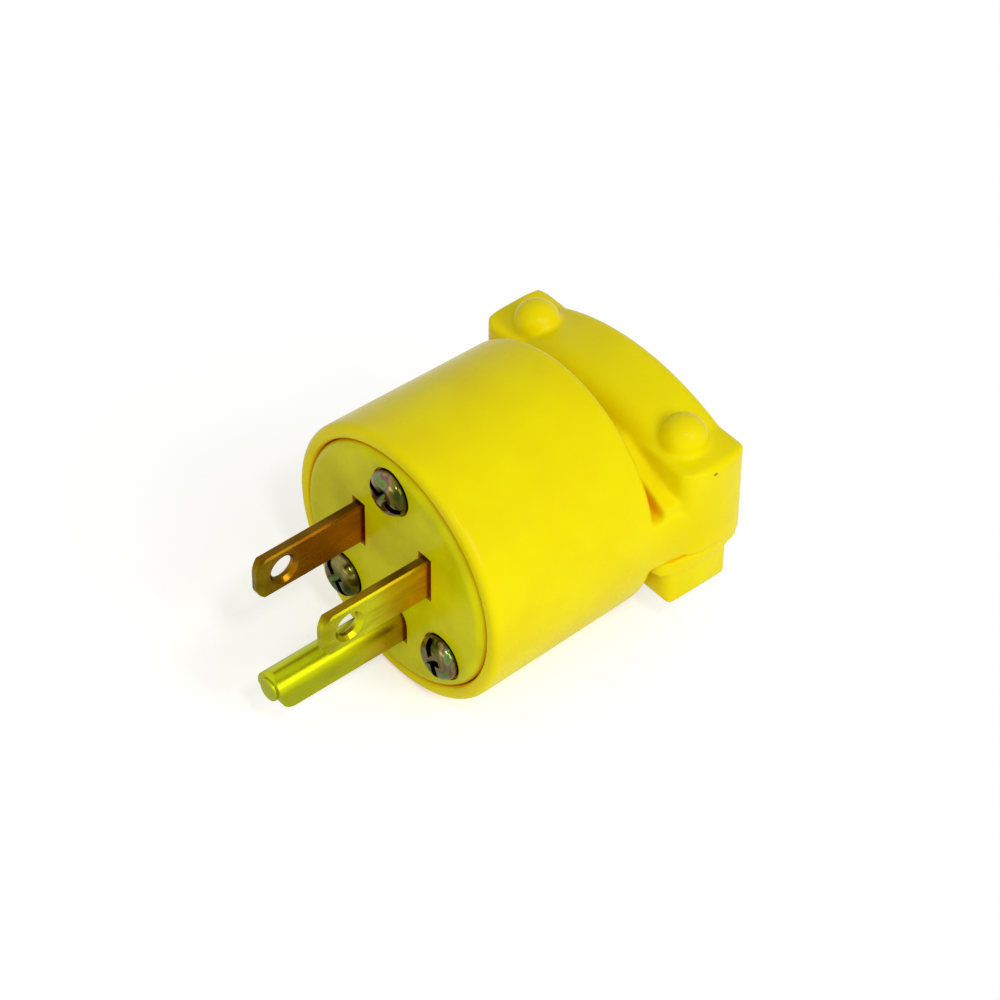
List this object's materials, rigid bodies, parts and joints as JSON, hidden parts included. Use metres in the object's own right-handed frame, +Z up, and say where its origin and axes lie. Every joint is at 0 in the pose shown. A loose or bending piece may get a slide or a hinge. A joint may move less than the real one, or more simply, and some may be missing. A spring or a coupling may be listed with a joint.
{
  "type": "straight-blade grounding plug with cord clamp",
  "caption": "Yellow round-bodied electrical plug with two flat blades, a U-shaped ground pin, a screwed face plate and a cord clamp closed by screws under domed ears.",
  "frame": {"origin": "centre of the mating face, on the plug's axis", "axes": "-Y out of the mating face along the blades, +Y along the cord, +Z up towards the blades' side and the clamp's domed ears"},
  "size_m": [0.0404, 0.0616, 0.0384],
  "materials": {
    "yellow_vinyl": "smooth moulded vinyl, semi-gloss",
    "face_vinyl": "smooth moulded vinyl, semi-gloss, slightly greener than the body",
    "core_plastic": "moulded thermoset, matt",
    "brass": "rolled and stamped, bright",
    "nickel": "nickel plated",
    "green_steel": "green coated steel",
    "zinc_steel": "yellow-passivated zinc on steel"
  },
  "bodies": {
    "root": {"housing": "yellow_vinyl", "clamp_jaw": "yellow_vinyl", "face_plate": "face_vinyl", "terminal_block": "core_plastic", "hot_blade": "brass", "neutral_blade": "brass", "ground_pin": "brass", "hot_terminal_screw": "brass", "neutral_terminal_screw": "nickel", "ground_terminal_screw": "green_steel", "hot_pressure_plate": "brass", "neutral_pressure_plate": "nickel", "ground_pressure_plate": "brass", "face_screw_top": "zinc_steel", "face_screw_left": "zinc_steel", "face_screw_right": "zinc_steel", "face_insert_top": "brass", "face_insert_left": "brass", "face_insert_right": "brass", "clamp_screw_left": "zinc_steel", "clamp_screw_right": "zinc_steel", "clamp_insert_left": "brass", "clamp_insert_right": "brass"}
  },
  "joints": []
}
